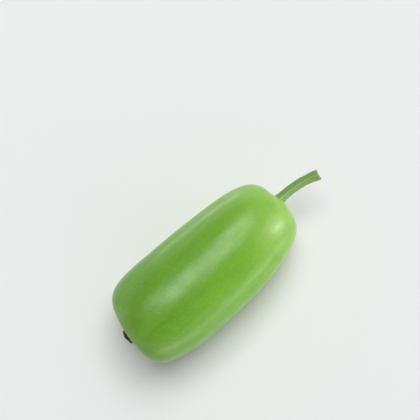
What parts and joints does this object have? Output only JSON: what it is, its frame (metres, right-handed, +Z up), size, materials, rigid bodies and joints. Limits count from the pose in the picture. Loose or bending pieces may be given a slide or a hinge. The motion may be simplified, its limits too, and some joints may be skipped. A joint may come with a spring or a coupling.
{
  "type": "bottle gourd",
  "caption": "Short, smooth, pale green bottle gourd lying on its side, with a bent ridged stem at one end and a withered blossom at the other.",
  "frame": {"origin": "on the surface that the gourd lies on, under the middle of its length and width", "axes": "+X from the blossom end to the stem end, +Z up, +Y to the left of someone looking along +X"},
  "size_m": [0.2242, 0.0906, 0.0895],
  "materials": {
    "skin": "smooth, waxy, satin green skin",
    "stem": "matt, ridged, slightly fuzzy green stalk",
    "dried_blossom": "matt, crumpled, dry brown"
  },
  "bodies": {
    "root": {"fruit": "skin", "stem": "stem", "dried_blossom": "dried_blossom"}
  },
  "joints": []
}
